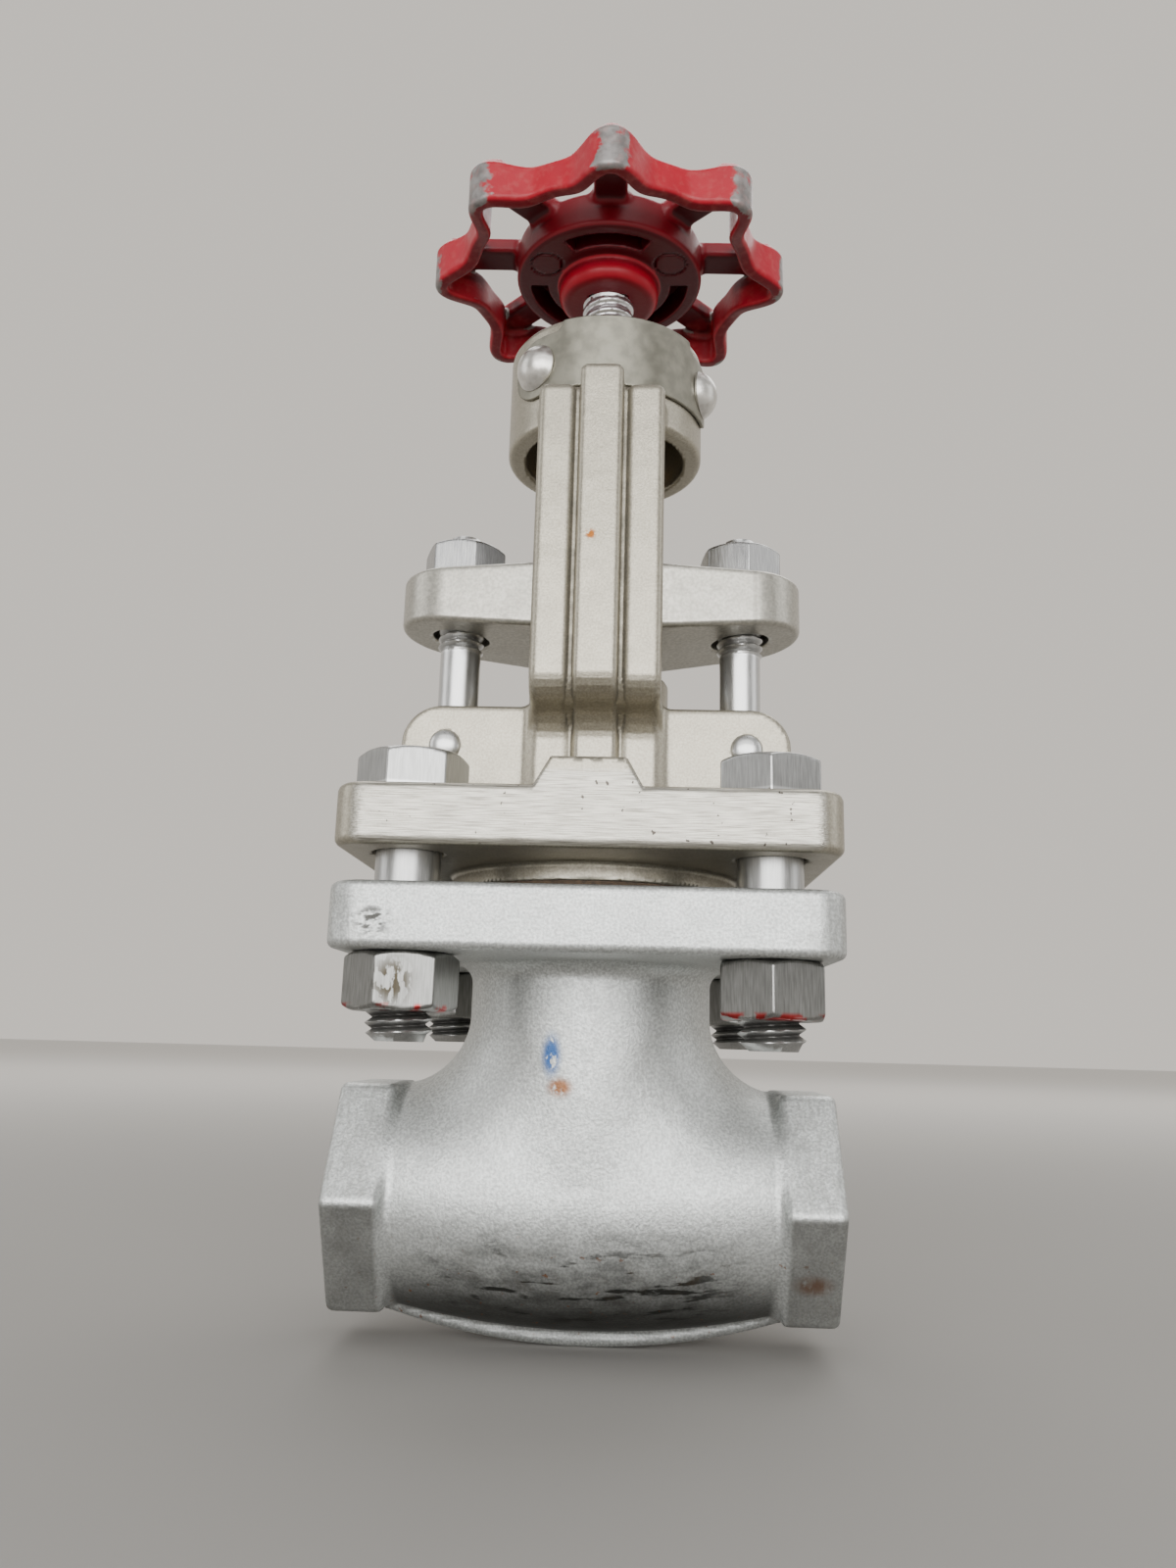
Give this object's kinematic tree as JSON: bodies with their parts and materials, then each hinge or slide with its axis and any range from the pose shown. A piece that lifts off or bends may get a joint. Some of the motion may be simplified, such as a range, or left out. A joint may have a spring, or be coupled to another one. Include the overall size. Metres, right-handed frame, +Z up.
{
  "type": "gate valve",
  "caption": "Gate valve with threaded hexagon ends, a square bolted bonnet, an outside screw and yoke, and a lobed handwheel that rises with the stem.",
  "frame": {"origin": "where the pipe axis meets the stem axis, inside the body", "axes": "+X along the pipe towards the right port, +Y away from the viewer of the front yoke arm, +Z up along the stem towards the handwheel"},
  "size_m": [0.076, 0.072, 0.1996],
  "materials": {
    "body_casting": "matte aluminium-coloured finish over a sand-cast stainless body",
    "bonnet_casting": "shot-blasted stainless casting, flange edge ground",
    "gland_casting": "smooth satin stainless casting",
    "bolting_steel": "machined steel with grime and rust in the corners",
    "gland_nut_steel": "bright dark-toned machined steel",
    "eyebolt_steel": "polished steel",
    "stem_steel": "polished stainless steel",
    "trim_steel": "machined stainless steel",
    "bushing_bronze": "machined bronze",
    "gasket": "compressed graphite-filled sheet",
    "packing": "die-formed graphite",
    "wheel_paint": "glossy red enamel worn to grey metal on the lobes",
    "nameplate_metal": "plain thin stainless plate",
    "rivet_metal": "smooth domed rivet"
  },
  "bodies": {
    "valve_body": {"body": "body_casting", "seat_ring_left": "trim_steel", "seat_ring_right": "trim_steel", "bonnet": "bonnet_casting", "bonnet_gasket": "gasket", "backseat_bushing": "trim_steel", "yoke_bushing": "bushing_bronze", "packing_rings": "packing", "bonnet_bolts": "bolting_steel", "bonnet_nuts": "bolting_steel", "eyebolt_left": "eyebolt_steel", "eyebolt_right": "eyebolt_steel", "eyebolt_pin_left": "eyebolt_steel", "eyebolt_pin_right": "eyebolt_steel", "nameplate": "nameplate_metal", "nameplate_rivets": "rivet_metal"},
    "gate": {"wedge": "trim_steel"},
    "stem_and_wheel": {"stem": "stem_steel", "handwheel": "wheel_paint", "wheel_washer": "bolting_steel", "wheel_nut": "gland_nut_steel"},
    "gland": {"gland_flange": "gland_casting", "gland_follower": "trim_steel"},
    "left_gland_nut": {"gland_nut_left": "gland_nut_steel"},
    "right_gland_nut": {"gland_nut_right": "gland_nut_steel"}
  },
  "joints": [
    {"name": "wedge_lift", "type": "slide", "parent": "valve_body", "child": "gate", "axis": [0, 0, 1], "range_m": [0, 0.022]},
    {"name": "handwheel_turn", "type": "hinge", "parent": "gate", "child": "stem_and_wheel", "pos_m": [0, 0, 0.1], "axis": [0, 0, 1], "range_deg": [0, 3743]},
    {"name": "gland_adjust", "type": "slide", "parent": "valve_body", "child": "gland", "axis": [0, 0, 1], "range_m": [-0.003, 0.003], "deforming": ["packing_rings"]},
    {"name": "gland_nut_left_turn", "type": "hinge", "parent": "gland", "child": "left_gland_nut", "pos_m": [-0.0244, 0, 0.105], "axis": [0, 0, 1], "range_deg": [-770, 770]},
    {"name": "gland_nut_right_turn", "type": "hinge", "parent": "gland", "child": "right_gland_nut", "pos_m": [0.0244, 0, 0.105], "axis": [0, 0, 1], "range_deg": [-770, 770]}
  ],
  "couplings": [
    {"joint": "handwheel_turn", "follows": "wedge_lift", "rad_per_m": 2968.4},
    {"joint": "gland_nut_left_turn", "follows": "gland_adjust", "rad_per_m": 4452.7},
    {"joint": "gland_nut_right_turn", "follows": "gland_adjust", "rad_per_m": 4452.7}
  ]
}
